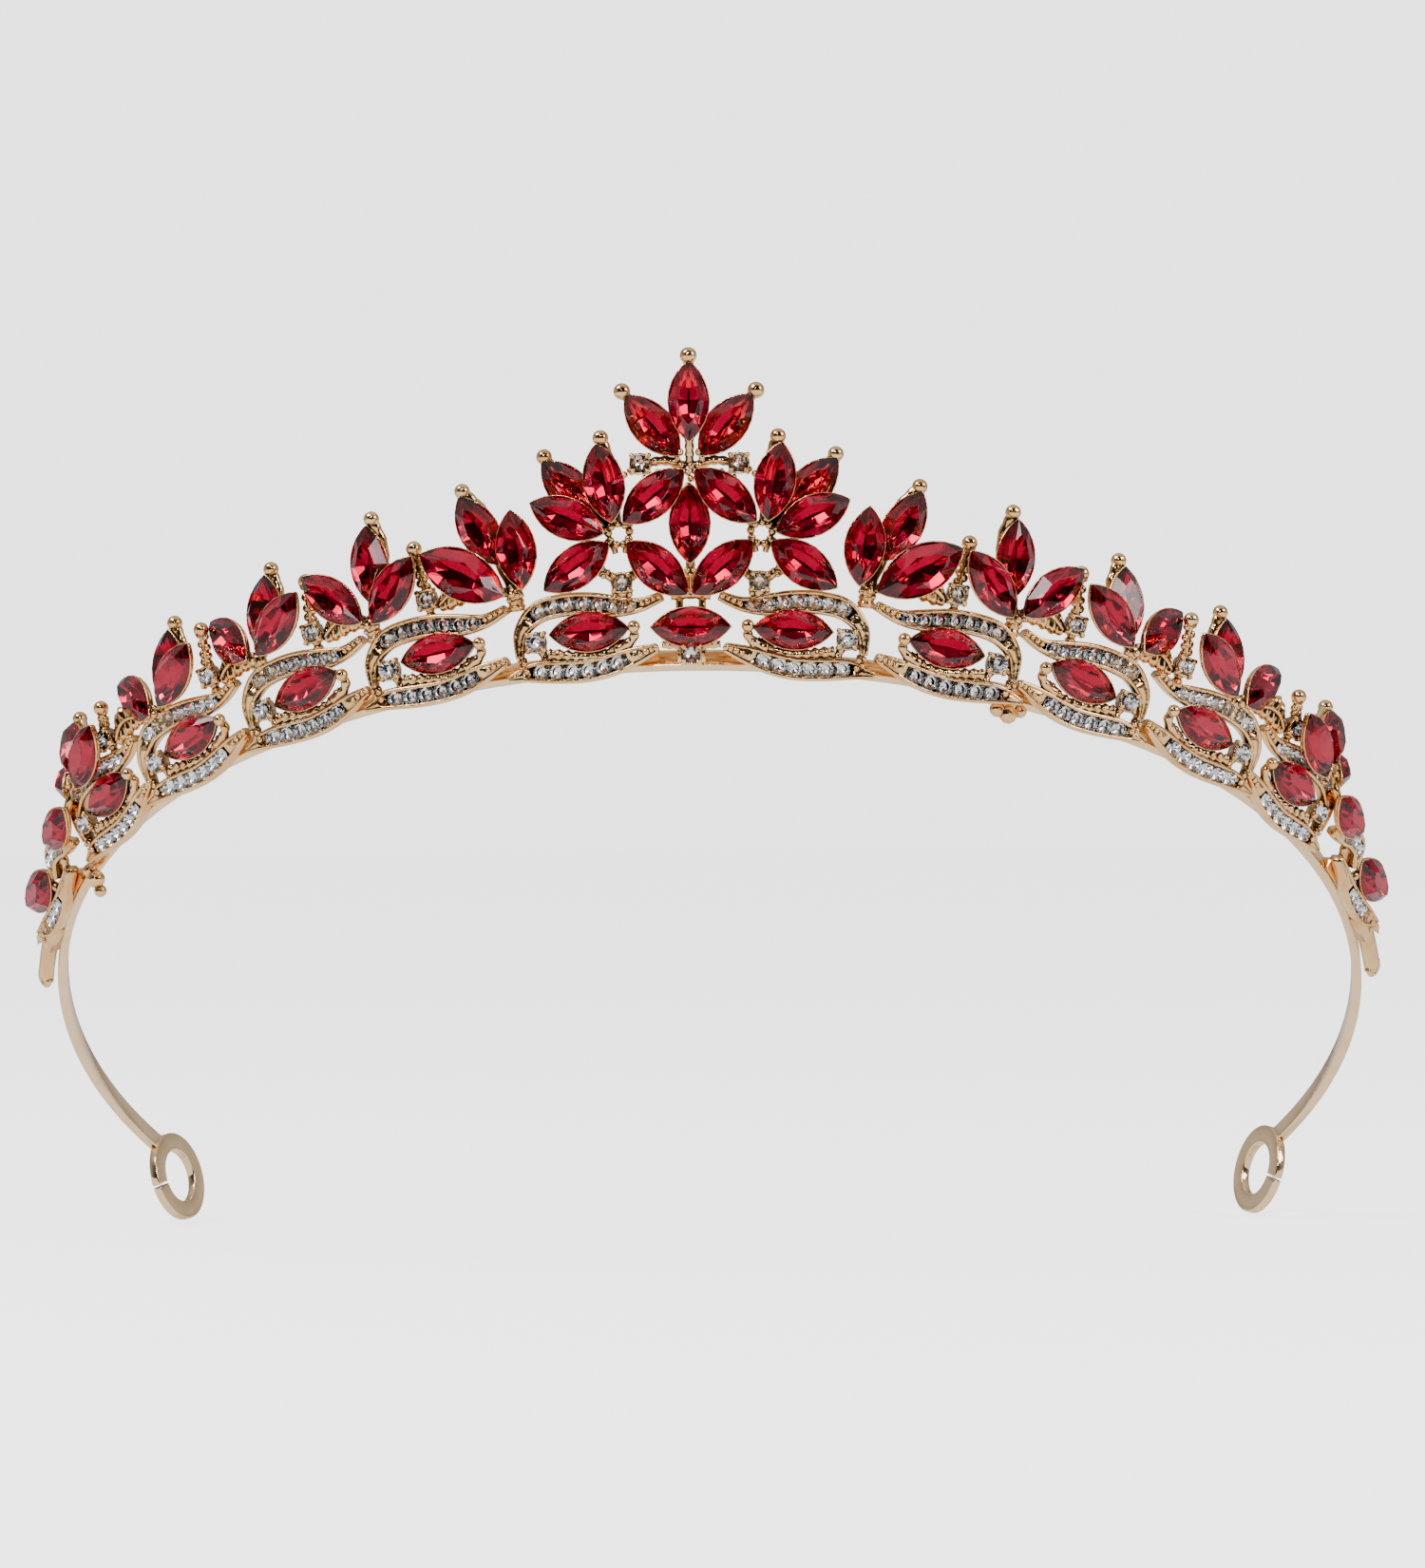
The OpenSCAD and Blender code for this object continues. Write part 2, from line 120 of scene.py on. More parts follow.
class Place:
    """A local frame: a point at (x, y, z) mm goes to metres in the row frame. side is -1 on the left."""

    def __init__(self, origin, across, up, out, side=1):
        self.origin = np.array(origin)
        self.axes = np.array([across, up, out])
        self.side = side

    def world(self, points):
        p = np.array(points, float).reshape(-1, 3) * MM * [self.side, 1, 1]
        return self.origin + p @ self.axes

    def moved(self, x, y, z):
        return Place(self.world([x, y, z])[0], *self.axes, self.side)


LAP = 0.28  # how much wider a cut stone is than the plain one that it stands for


class Stone:
    """A marquise stone of the frame: its own axes, size and the height of its parts."""

    def __init__(self, points):
        middle, (along, across, out) = main_axes(points)
        heights = (points - middle) @ out
        far, near = points[heights > heights.max() - 1e-5], points[heights < heights.min() + 1e-5]
        if np.ptp(far @ along) > np.ptp(near @ along):
            out, heights = -out, -heights
        # the cut stone laps over its setting's rim a little, most at its points
        self.length = np.ptp(points @ along) / MM + 1.5 * LAP
        self.width = np.ptp(points @ across) / MM + LAP
        # the stone's middle is that of its longest ring, the girdle
        reach = np.abs((points - points.mean(0)) @ along)
        self.centre = points[reach > reach.max() - 2e-5].mean(0)
        self.out = out
        self.along = along
        self.place = Place(self.centre, along, np.cross(out, along), out)

    def ornament_place(self, side):
        """The ornament's frame at this stone, with its origin at the girdle's middle."""
        up = unit(UP - (UP @ self.out) * self.out)
        return Place(self.centre, np.cross(up, self.out), up, self.out, side)


def stones_of(name):
    return [Stone(p) for p in loose_parts(name)]


def nearest(stones, target):
    return min(stones, key=lambda s: np.linalg.norm(s.centre - target))


def middle_of(name):
    lo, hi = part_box(name)
    return (np.array(lo) + np.array(hi)) / 2


class Chip:
    """A small round stone of the frame."""

    def __init__(self, points):
        _, axes = main_axes(points)
        self.centre = (points.max(0) + points.min(0)) / 2
        out = axes[2]
        # the ornament leans outwards from the head, so a stone faces down and away from the middle
        self.out = out if out @ self.centre > 0 or out[2] < 0 and abs(out @ self.centre) < 1e-3 else -out
        self.size = max(np.ptp(points @ axes[0]), np.ptp(points @ axes[1])) / MM

    def place(self, side):
        up = unit(UP - (UP @ self.out) * self.out)
        return Place(self.centre, np.cross(up, self.out), up, self.out, side)


def chips_of(name):
    return [Chip(p) for p in loose_parts(name)]


# ---- drawing shapes ----


class Form:
    """Points and faces in metres, gathered into one mesh object."""

    def __init__(self):
        self.points, self.faces, self.slots, self.smooth = [], [], [], []

    def add(self, world_points, faces, slot=0, smooth=True):
        base = len(self.points)
        self.points.extend(map(tuple, world_points))
        self.faces.extend([tuple(base + i for i in f) for f in faces])
        self.slots.extend([slot] * len(faces))
        self.smooth.extend([smooth] * len(faces))

    def build(self, name, materials, slot, *nodes):
        mesh = bpy.data.meshes.new(name)
        mesh.from_pydata(self.points, [], self.faces)
        for m in materials:
            mesh.materials.append(m)
        mesh.polygons.foreach_set("material_index", self.slots)
        mesh.polygons.foreach_set("use_smooth", self.smooth)
        bm = bmesh.new()
        bm.from_mesh(mesh)
        bmesh.ops.remove_doubles(bm, verts=bm.verts, dist=1e-8)
        bmesh.ops.recalc_face_normals(bm, faces=bm.faces)
        bm.to_mesh(mesh)
        bm.free()
        obj = bpy.data.objects.new(name, mesh)
        bpy.context.scene.collection.objects.link(obj)
        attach(obj, "root")
        if nodes:
            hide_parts(*nodes)
        return obj


def lofted(form, place, rings, slot=0, smooth=True, caps=True):
    """A closed skin through rings that all have the same number of points."""
    n = len(rings[0])
    points = [p for ring in rings for p in ring]
    faces = []
    for k in range(len(rings) - 1):
        for i in range(n):
            j = (i + 1) % n
            faces.append((k * n + i, k * n + j, (k + 1) * n + j, (k + 1) * n + i))
    if caps:
        faces.append(tuple(range(n))[::-1])
        faces.append(tuple((len(rings) - 1) * n + i for i in range(n)))
    form.add(place.world(points), faces, slot, smooth)


def ball(form, place, at, r, flat=1.0, sides=14):
    """A bead of radius r. flat squashes it along Z."""
    rings = []
    bands = 8
    for i in range(1, bands):
        a = math.pi * i / bands
        ring = []
        for j in range(sides):
            b = 2 * math.pi * j / sides
            q = [math.sin(a) * math.cos(b), math.sin(a) * math.sin(b), -math.cos(a) * flat]
            ring.append([at[k] + r * q[k] for k in range(3)])
        rings.append(ring)
    lofted(form, place, rings)


def smooth_path(points, steps):
    """A smooth line through some points."""
    p = np.array(points, float)
    out = []
    for i in range(len(p) - 1):
        a, b, c, d = p[max(i - 1, 0)], p[i], p[i + 1], p[min(i + 2, len(p) - 1)]
        for k in range(steps):
            out.append(cubic(a, b, c, d, k / steps))
    out.append(p[-1])
    return np.array(out)


def cubic(a, b, c, d, f):
    """The point a fraction f of the way from b to c, on a smooth line through all four."""
    return 0.5 * (
        2 * b + (c - a) * f + (2 * a - 5 * b + 4 * c - d) * f * f + (3 * b - a - 3 * c + d) * f**3
    )


def tube(form, place, path, radii, sides=10, flat=1.0):
    """A round bar along a path, with a radius at each point. flat squashes it along Z."""
    path = np.array(path, float)
    radii = np.broadcast_to(radii, len(path))
    rings = []
    for i, q in enumerate(path):
        d = unit(path[min(i + 1, len(path) - 1)] - path[max(i - 1, 0)])
        side = unit(np.cross([0.02, 0.01, 1.0], d))
        top = np.cross(d, side)
        ring = []
        for j in range(sides):
            a = 2 * math.pi * j / sides
            ring.append(q + radii[i] * (math.cos(a) * side + math.sin(a) * flat * top))
        rings.append(ring)
    lofted(form, place, rings)


def ribbed(n, r0, r1, ribs, depth):
    """Radii that go from r0 to r1 with a number of ribs on the way."""
    t = np.linspace(0, 1, n)
    return r0 + (r1 - r0) * t + depth * np.sin(2 * math.pi * ribs * t)


def rod(form, place, a, b, r0, r1=None, ribs=0, depth=0.0, bow=(0, 0, 0), steps=14):
    """A bar from a to b that bows by bow at its middle."""
    a, b, bow = np.array(a, float), np.array(b, float), np.array(bow, float)
    t = np.linspace(0, 1, steps)[:, None]
    path = a + (b - a) * t + bow * 4 * t * (1 - t)
    tube(form, place, path, ribbed(steps, r0, r0 if r1 is None else r1, ribs, depth))


# ---- stones ----


def oval(l, w, z, n=8):
    """Points round a pointed oval of two arcs, n steps along each."""
    r = (l * l + w * w) / (4 * w)
    points = []
    for k in range(2 * n):
        x = l / 2 * math.cos(math.pi * k / n)
        y = max(math.sqrt(r * r - x * x) - r + w / 2, 0.0)
        points.append([x, y if k < n else -y, z])
    return points


GLASS, FOIL = 0, 1


def marquise(form, stone):
    """A cut stone: a pointed table, eight broad crown facets, and a foiled keel of long planes."""
    l, w = stone.length, stone.width
    crown, girdle, depth = 0.28 * w, 0.07, 1.05
    table = oval(0.6 * l, 0.52 * w, crown, 4)
    top, low = oval(l, w, girdle), oval(l, w, -girdle)
    faces = [tuple(range(8))]
    for j in range(8):
        k = 2 * j
        a, b, c = 8 + k, 8 + (k + 1) % 16, 8 + (k + 2) % 16
        faces.append((j, a, b, c, (j + 1) % 8))
    for k in range(16):
        m = (k + 1) % 16
        faces.append((8 + k, 24 + k, 24 + m, 8 + m))
    form.add(stone.place.world(table + top + low), faces, GLASS, False)
    keel = oval(0.42 * l, 0.08 * w, -depth, 4)
    faces = [tuple(16 + j for j in range(8))]
    for j in range(8):
        k, n = 2 * j, (j + 1) % 8
        faces.append((k, 16 + j, (k + 1) % 16))
        faces.append(((k + 1) % 16, 16 + j, 16 + n))
        faces.append(((k + 1) % 16, 16 + n, (k + 2) % 16))
    form.add(stone.place.world(low + keel), faces, FOIL, False)


def brilliant(form, place, size):
    """A small round stone: an eight-sided table and crown over a foiled cone."""

    def ring(r, z, n, turn=0.0):
        return [
            [r * math.cos(2 * math.pi * (k + turn) / n), r * math.sin(2 * math.pi * (k + turn) / n), z]
            for k in range(n)
        ]

    r = size / 2
    table, top, low = ring(0.56 * r, 0.36, 8, 0.5), ring(r, 0.06, 16), ring(r, 0.0, 16)
    faces = [tuple(range(8))]
    for j in range(8):
        a, b, c = 8 + 2 * j, 8 + (2 * j + 1) % 16, 8 + (2 * j + 2) % 16
        faces += [(j, a, b), (j, b, c), (j, c, (j + 1) % 8)]
    for k in range(16):
        m = (k + 1) % 16
        faces.append((8 + k, 24 + k, 24 + m, 8 + m))
    form.add(place.world(table + top + low), faces, GLASS, False)
    faces = [(k, 16, (k + 1) % 16) for k in range(16)]
    form.add(place.world(low + [[0, 0, -0.5]]), faces, FOIL, False)


# ---- metal details ----


def bezel(form, stone, deep=1.15):
    """A closed setting that wraps a marquise stone: a rolled rim over a groove and a rounded back."""
    l, w = stone.length, stone.width
    profile = [
        (-0.30 * w, -deep), (-0.16 * w, -deep + 0.05), (-0.2, -deep + 0.28), (-0.02, -0.62),
        (0.03, -0.50), (-0.04, -0.42), (-0.04, -0.35), (0.07, -0.27), (0.10, -0.14),
        (0.07, -0.02), (0.0, 0.02), (-0.05, -0.05), (-0.06, -0.2),
    ]
    rings = [oval(max(l + 2.6 * o, 0.2), max(w + 2 * o, 0.1), z, 12) for o, z in profile]
    lofted(form, stone.place, rings, caps=False)
    n = len(rings[0])
    form.add(stone.place.world(rings[0]), [tuple(range(n))], 0, True)


def granules(form, place, path, r, both=0.0):
    """A chain of small beads along a path, swinging from side to side by both."""
    path = np.array(path, float)
    for k, q in enumerate(path):
        swing = both * (1 if k % 2 else -1)
        ball(form, place, [q[0] + swing, q[1], q[2]], r * (1 if k % 2 else 0.86), sides=10)


SEAT_SIZE = 2.3
SEAT_TOP = 1.5  # height of a seat's stone over the back of its casting


def seat(form, place):
    """A square seat with a round bowl and four claws."""
    h, top = SEAT_SIZE / 2, SEAT_TOP

    def square(r, z):
        corner = [(1, 0.0), (0.92, 0.62), (0.62, 0.92)]
        ring = []
        for q in range(4):
            a = math.pi / 2 * q
            for x, y in corner:
                ring.append(
                    [r * (x * math.cos(a) - y * math.sin(a)), r * (x * math.sin(a) + y * math.cos(a)), z]
                )
        return ring

    rings = [
        square(h * 0.7, top - 1.5), square(h * 0.92, top - 1.3), square(h * 0.96, top - 0.5),
        square(h * 1.02, top - 0.25), square(h * 1.0, top - 0.02), square(h * 0.88, top + 0.06),
        square(h * 0.74, top - 0.1), square(h * 0.4, top - 0.6),
    ]
    lofted(form, place, rings)
    for x, y in itertools.product((-1, 1), repeat=2):
        claw = [[x * h * 0.82, y * h * 0.82, top - 0.5], [x * h * 0.76, y * h * 0.76, top + 0.05],
                [x * h * 0.62, y * h * 0.62, top + 0.22]]
        tube(form, place, claw, [0.26, 0.28, 0.2], sides=8)
        ball(form, place, [x * h * 0.64, y * h * 0.64, top + 0.16], 0.24, sides=8)


def leaf_line(points, steps=7):
    """Places, sideways directions and half widths along a leaf."""
    q = smooth_path(points, steps)
    d = np.gradient(q[:, :2], axis=0)
    d /= np.linalg.norm(d, axis=1)[:, None]
    return q, np.stack([-d[:, 1], d[:, 0]], 1)


def leaf(form, place, points, from_knot, to_knot, steps=7):
    """A leaf with a raised wire along each edge and, between two of its knots, a channel for stones."""
    q, side = leaf_line(points, steps)
    rings = []
    for i, (x, y, w) in enumerate(q):
        t = i / steps
        opened = min(max((t - from_knot) / 0.5, 0), 1) * min(max((to_knot - t) / 0.5, 0), 1)
        wire = min(0.3, 0.6 * w)
        bed = 1.4 - 0.75 * opened
        profile = [
            (-w * 0.8, -0.15), (-w - 0.1, 0.1), (-w - 0.2, 0.55), (-w - 0.24, 1.1), (-w - 0.17, 1.42),
            (-w + wire * 0.3, 1.52), (-w + wire * 0.85, 1.38), (-w + wire * 0.9, bed),
        ]
        ring = profile + [(-o, z) for o, z in reversed(profile)]
        rings.append([[x + o * side[i][0], y + o * side[i][1], z] for o, z in ring])
    lofted(form, place, rings)


def leaf_claws(form, place, points, chips):
    """Tiny claws on both wires between the stones of a leaf."""
    q, side = leaf_line(points, 12)
    away = [np.linalg.norm(q[:, :2] - p[:2], axis=1) for p in local_points(place, chips)]
    spots = sorted(int(a.argmin()) for a in away)
    for a, b in zip(spots, spots[1:]):
        m = (a + b) // 2
        for way in (-1, 1):
            w = way * (q[m][2] - 0.1)
            ball(form, place, [q[m][0] + w * side[m][0], q[m][1] + w * side[m][1], 1.42], 0.17, sides=8)


# ---- materials ----


def shader(name):
    """A new material, its node tree and its Principled shader."""
    m = bpy.data.materials.new(name)
    m.use_nodes = True
    tree = m.node_tree
    return m, tree, tree.nodes["Principled BSDF"]


def noise(tree, scale, detail=3.0):
    """Cloudy values from 0 to 1 over the object."""
    coord = tree.nodes.new("ShaderNodeTexCoord")
    tex = tree.nodes.new("ShaderNodeTexNoise")
    tex.inputs["Scale"].default_value = scale
    tex.inputs["Detail"].default_value = detail
    tree.links.new(coord.outputs["Object"], tex.inputs["Vector"])
    return tex.outputs["Fac"]


def ramp(tree, value, stops):
    """Colours picked by a value from some (position, colour) stops."""
    node = tree.nodes.new("ShaderNodeValToRGB")
    for i, (at, colour) in enumerate(stops):
        e = node.color_ramp.elements[i] if i < 2 else node.color_ramp.elements.new(at)
        e.position = at
        e.color = (*colour, 1)
    tree.links.new(value, node.inputs["Fac"])
    return node.outputs["Color"]


def grey(level):
    return (level, level, level)


def gold(name, pale, deep, dark, rough, grain):
    """Polished plated metal: paler and deeper patches, painted brown shade in recesses from ambient
    occlusion, faint casting grain.
    """
    m, tree, bsdf = shader(name)
    patches = ramp(tree, noise(tree, 260), [(0.3, deep), (0.62, pale)])
    # painted shade: ambient occlusion darkens the base colour towards a brown in recesses and between parts
    shelter = tree.nodes.new("ShaderNodeAmbientOcclusion")
    shelter.samples = 6
    shelter.only_local = True
    shelter.inputs["Distance"].default_value = 0.0014
    painted_shade = ramp(tree, shelter.outputs["AO"], [(0.35, grey(0)), (0.9, grey(1))])
    mix = tree.nodes.new("ShaderNodeMixRGB")
    mix.inputs["Color1"].default_value = (*dark, 1)
    tree.links.new(painted_shade, mix.inputs["Fac"])
    tree.links.new(patches, mix.inputs["Color2"])
    tree.links.new(mix.outputs["Color"], bsdf.inputs["Base Color"])
    bsdf.inputs["Metallic"].default_value = 1.0
    roughness = ramp(tree, noise(tree, 900), [(0.3, grey(rough)), (0.7, grey(rough * 1.8))])
    tree.links.new(roughness, bsdf.inputs["Roughness"])
    bump = tree.nodes.new("ShaderNodeBump")
    bump.inputs["Strength"].default_value = grain
    bump.inputs["Distance"].default_value = 0.00012
    tree.links.new(noise(tree, 1500, 2.0), bump.inputs["Height"])
    tree.links.new(bump.outputs["Normal"], bsdf.inputs["Normal"])
    return m


def glass(name, colour, ior, shine=0.5):
    m, tree, bsdf = shader(name)
    tint = ramp(tree, noise(tree, 400), [(0.35, [c * 0.94 for c in colour]), (0.65, colour)])
    tree.links.new(tint, bsdf.inputs["Base Color"])
    bsdf.inputs["Roughness"].default_value = 0.0
    bsdf.inputs["IOR"].default_value = ior
    bsdf.inputs["Specular IOR Level"].default_value = shine
    bsdf.inputs["Transmission Weight"].default_value = 1.0
    return m


def foil(name, bright, dull, rough):
    m, tree, bsdf = shader(name)
    colour = ramp(tree, noise(tree, 500), [(0.35, dull), (0.6, bright)])
    tree.links.new(colour, bsdf.inputs["Base Color"])
    bsdf.inputs["Metallic"].default_value = 1.0
    bsdf.inputs["Roughness"].default_value = rough
    return m


# the third colour of each gold is the brown of its painted shade in recesses
CAST = gold("cast_gold_painted_shade", (0.95, 0.62, 0.30), (0.80, 0.41, 0.14), (0.08, 0.030, 0.008), 0.08, 0.45)
SMOOTH = gold("band_gold_painted_shade", (0.99, 0.72, 0.43), (0.94, 0.63, 0.34), (0.32, 0.16, 0.06), 0.10, 0.12)
RED = [
    glass("red_stone_glass", (0.92, 0.02, 0.15), 1.5, 0.3),
    foil("red_stone_foil", (0.48, 0.010, 0.19), (0.42, 0.008, 0.16), 0.10),
]
CLEAR = [
    glass("clear_stone_glass", (0.99, 0.99, 1.0), 1.6),
    foil("clear_stone_foil", (0.97, 0.97, 0.98), (0.84, 0.84, 0.87), 0.06),
]


# ---- the vine ----

VINES = 6  # castings on each side, of which the last is the end casting
ROW_GIRDLE = 1.465  # height of a row stone's girdle over the back of the castings
CHIP_LIFT = 0.14  # how far a leaf's stone is raised over the plain one that it stands for
# leaves as [along, up, half width] points, from the outer tip to the inner one
UPPER_LEAF = [
    [7.6, -2.3, 0.2], [7.3, 0.4, 0.55], [5.4, 2.4, 0.95], [2.7, 3.0, 1.0],
    [-0.1, 2.95, 1.0], [-2.9, 2.45, 0.95], [-5.5, 2.35, 0.55], [-8.0, 3.1, 0.3],
]
LOWER_LEAF = [
    [8.9, -4.3, 0.12], [6.2, -3.85, 0.85], [3.4, -4.0, 1.0], [0.6, -4.1, 1.0],
    [-2.1, -3.7, 1.0], [-4.7, -2.95, 0.75], [-7.1, -2.3, 0.3],
]
END_UPPER = [
    [-4.6, -1.4, 0.4], [-6.2, 0.2, 0.9], [-8.4, 0.1, 1.0], [-10.4, -0.8, 0.85], [-12.2, -1.6, 0.35],
]
END_LOWER = [
    [6.4, -1.9, 0.15], [3.6, -2.9, 0.95], [0.8, -3.3, 1.0], [-2.0, -3.4, 0.9], [-5.0, -3.0, 0.5],
    [-8.2, -2.8, 0.3],
]
LAST_CHIP = 5.55  # where the innermost stone lies on the upper leaf, in points of its line


def stretched(points, k):
    """A leaf's points with the distances along the band made k times as long."""
    return [[x * k, y, w] for x, y, w in points]


def vine(side, i):
    """A vine casting: two stone-set leaves round a row stone, with a seat and a bud at its tips."""
    name = f"{side}_vine_{i}"
    stone = nearest(ROW, middle_of(name))
    place = stone.ornament_place(SIDES[side]).moved(0, 0, -ROW_GIRDLE)
    chips = chips_of(f"{side}_vine_stones_{i}")
    form = Form()
    bezel(form, stone)
    if i < VINES:
        span = stretch_of(place, chips)
        upper, lower = stretched(UPPER_LEAF, span), stretched(LOWER_LEAF, span)
        leaf(form, place, upper, 1.5, 6.1)
        leaf(form, place, lower, 0.7, 4.75)
        vine_trim(form, place, span)
    else:
        upper, lower = END_UPPER, END_LOWER
        leaf(form, place, upper, 0.5, 3.0)
        leaf(form, place, lower, 0.5, 3.4)
        end_trim(form, place)
    for c in chips:
        c.out = stone.out
    for points in (upper, lower):
        leaf_claws(form, place, points, near_line(place, chips, points))
    form.build(f"{name}_casting", [CAST], "cast_gold", name)
    gems = Form()
    for c in chips:
        brilliant(gems, c.place(SIDES[side]).moved(0, 0, CHIP_LIFT), 1.15 * c.size + 0.14)
    gems.build(f"{name}_chips", CLEAR, "clear_stone", f"{side}_vine_stones_{i}")


def local_points(place, chips):
    """Middles of some chips in millimetres, in a local frame."""
    inverse = np.linalg.inv(place.axes)
    return [((c.centre - place.origin) @ inverse) / MM * [place.side, 1, 1] for c in chips]


def stretch_of(place, chips):
    """How far a casting is stretched along the band, from its innermost stone."""
    furthest = min(p[0] for p in local_points(place, chips))
    k = int(LAST_CHIP)
    return furthest / cubic(*np.array(UPPER_LEAF[k - 1 : k + 3]), LAST_CHIP - k)[0]


def near_line(place, chips, points):
    """The chips that lie on a leaf."""
    q = smooth_path(points, 12)[:, :2]
    found = []
    for c, p in zip(chips, local_points(place, chips)):
        if np.linalg.norm(q - p[:2], axis=1).min() < 0.3 and p[2] < 1.35:
            found.append(c)
    return found


def vine_trim(form, place, k):
    """The seat, bud, links and textured parts of a vine casting that is stretched by k."""
    seat(form, place.moved(5.75, -0.7, 0))
    bud(form, place)
    # links from the seat to the curl and the lower leaf
    rod(form, place, [6.2, -0.9, 0.8], [7.35 * k, -1.4, 0.8], 0.5, 0.4)
    rod(form, place, [5.3, -1.4, 0.8], [4.6, -3.4, 0.9], 0.5, 0.42, ribs=2, depth=0.06)
    # knobbly joint where the curl comes down on the lower leaf
    rod(form, place, [7.5 * k, -2.3, 0.75], [7.0 * k, -4.0, 0.75], 0.5, 0.55, ribs=2, depth=0.08)
    knobs = [[7.7, -2.7, 1.3], [7.1, -2.9, 1.3], [7.5, -3.4, 1.35], [6.9, -3.7, 1.5]]
    granules(form, place, [[x * k, y, z] for x, y, z in knobs], 0.34)
    wavy_strip(form, place)
    # granules on the inner ends of both leaves
    upper_end = [[-5.9, 2.45, 1.5], [-6.5, 2.65, 1.5], [-7.1, 2.85, 1.45], [-7.7, 3.05, 1.4]]
    lower_end = [[-5.3, -2.8, 1.5], [-5.9, -2.6, 1.5], [-6.5, -2.45, 1.45], [-7.0, -2.3, 1.4]]
    granules(form, place, upper_end, 0.36)
    granules(form, place, lower_end, 0.36)


def bud(form, place):
    """A finger that comes up round the inner tip of the row stone and ends in a bud."""
    finger = smooth_path([[-2.6, -2.1, 0.9], [-3.8, -1.7, 1.0], [-4.65, -1.0, 1.1], [-4.85, -0.2, 1.3]], 4)
    tube(form, place, finger, ribbed(len(finger), 0.62, 0.46, 3, 0.07))
    ball(form, place, [-4.85, 0.1, 1.75], 0.7)


def wavy_strip(form, place):
    """The wavy strip between the row stone and the lower leaf."""
    line = [
        [4.5, -2.1, 0.9], [2.9, -2.3, 1.0], [1.2, -2.55, 1.0],
        [-0.6, -2.6, 0.95], [-2.3, -2.1, 0.85], [-3.7, -1.2, 0.8],
    ]
    wave = smooth_path(line, 9)
    tube(form, place, wave, ribbed(len(wave), 0.62, 0.4, 9, 0.12), flat=0.8)
    granules(form, place, [[3.9, -1.9, 1.3], [3.1, -2.15, 1.4], [2.2, -2.3, 1.4]], 0.34)


def drawn_in(outline, inset, z):
    """An outline moved towards its middle by inset along X and Y, at height z."""
    middle = np.mean(outline, axis=0)
    ring = []
    for q in outline:
        away = q - middle
        shrink = inset / np.maximum(abs(away), 0.5)
        ring.append([*(q - away * shrink), z])
    return ring


def plate(form, place, outline, top, edge=0.18):
    """A flat plate of some outline from Z = 0 to top, with its top edge rounded over."""
    steps = [(0, 0), (0, top - edge), (edge * 0.3, top - edge * 0.3), (edge, top)]
    lofted(form, place, [drawn_in(outline, inset, z) for inset, z in steps])


def tail(form, place):
    """The plain tab that runs on beside the band, with a turned-up rim round its tip."""
    half_width = 0.95
    corners = [(-half_width, 0.0), (-half_width, 0.85), (-0.7, 1.12)]
    section = corners + [(-o, z) for o, z in reversed(corners)]
    line = smooth_path([[5.2, -3.2, 0.5], [7.6, -3.5, 0.55], [10.2, -4.0, 0.5], [12.6, -4.6, 0.4]], 6)
    lofted(form, place, [[[x, y + o, z] for o, z in section] for x, y, _ in line])
    rim = [[12.0, -5.3, 0.6], [13.0, -5.3, 0.6], [13.4, -4.8, 0.6], [13.2, -4.1, 0.6], [12.3, -3.7, 0.6]]
    tube(form, place, smooth_path(rim, 5), 0.42)


def end_trim(form, place):
    """The hooked block and the tail of the end casting, and the struts between its leaves."""
    block = [[2.4, -2.0], [5.6, -1.9], [7.4, -1.7], [8.2, -2.3], [6.9, -2.7], [6.6, -4.7], [2.6, -4.4]]
    plate(form, place, block, 1.35)
    tail(form, place)
    granules(form, place, [[6.2, -2.3, 1.3], [6.0, -3.2, 1.3], [5.2, -2.6, 1.35]], 0.34)
    rod(form, place, [-8.6, 0, 0.6], [-6.8, -2.9, 0.6], 0.5, ribs=3, depth=0.06)
    rod(form, place, [-5, -1.2, 0.6], [-3.4, -0.2, 0.9], 0.5)
    rod(form, place, [-3.4, -3.2, 0.6], [-2.6, -0.6, 0.9], 0.5, ribs=2, depth=0.06)
    granules(form, place, [[-11.3, -1.3, 1.25], [-11.8, -1.5, 1.2]], 0.3)
    granules(form, place, [[-5.4, -2.95, 1.3], [-6.2, -2.9, 1.25], [-7.0, -2.85, 1.2]], 0.3)


# ---- fans, flowers and sprays ----

BIG = (9.8, 5.0)
STD = (8.0, 4.0)
# hub-frame petals: [along, up, angle, length, width, lean, lift]
FANS = [
    [[0.8, 0.1, 33, *BIG, 0, 1.5], [1.3, 3.5, 66, *STD, 0, 0], [-1.2, 0.5, 88, *STD, 0, 1.5]],
    [[0.5, 0.6, 49, *STD, 0, 1.5], [-0.6, 2.3, 98, *STD, 0, 0], [-0.6, 0.2, 136, *STD, 0, 1.5]],
    [[0.5, 0.3, 50, *STD, -25, 1.5], [-0.7, 0.8, 104, *STD, -12, 0], [-0.7, 0.6, 145, *STD, 0, 1.5]],
    [[0.4, -0.1, 52, *STD, -25, 1.5], [-0.9, 0.4, 111, *STD, -12, 0], [-1.1, 0.6, 149, *STD, 0, 1.5]],
    [[1.3, -1.9, -10, 7, 3.7, -10, 2.3], [0.9, -0.2, 42, 7, 4, -52, 1.5],
     [-0.3, 0.2, 84, 7.6, 4, -32, 0.4], [-1.4, -1.0, 152, *STD, 0, 1.5]],
]
BEADED = [1, 1, 1, 1, 2]  # petal of each fan with a beaded stem behind it
FLOWER = [
    [0.6, 1.2, 82, *STD, 0, 1.5], [2.2, 1.8, 49, *STD, 0, 0], [1.5, 0.1, 26, *STD, 0, 1.5],
    [1.0, -0.9, -33, *STD, 0, 1.5], [-0.6, 1.1, 142, *STD, 0, 1.5], [-0.9, -0.9, 224, *STD, 0, 1.5],
]
FLOWER_BEADED = [0, 1]  # petals with a beaded stem behind them
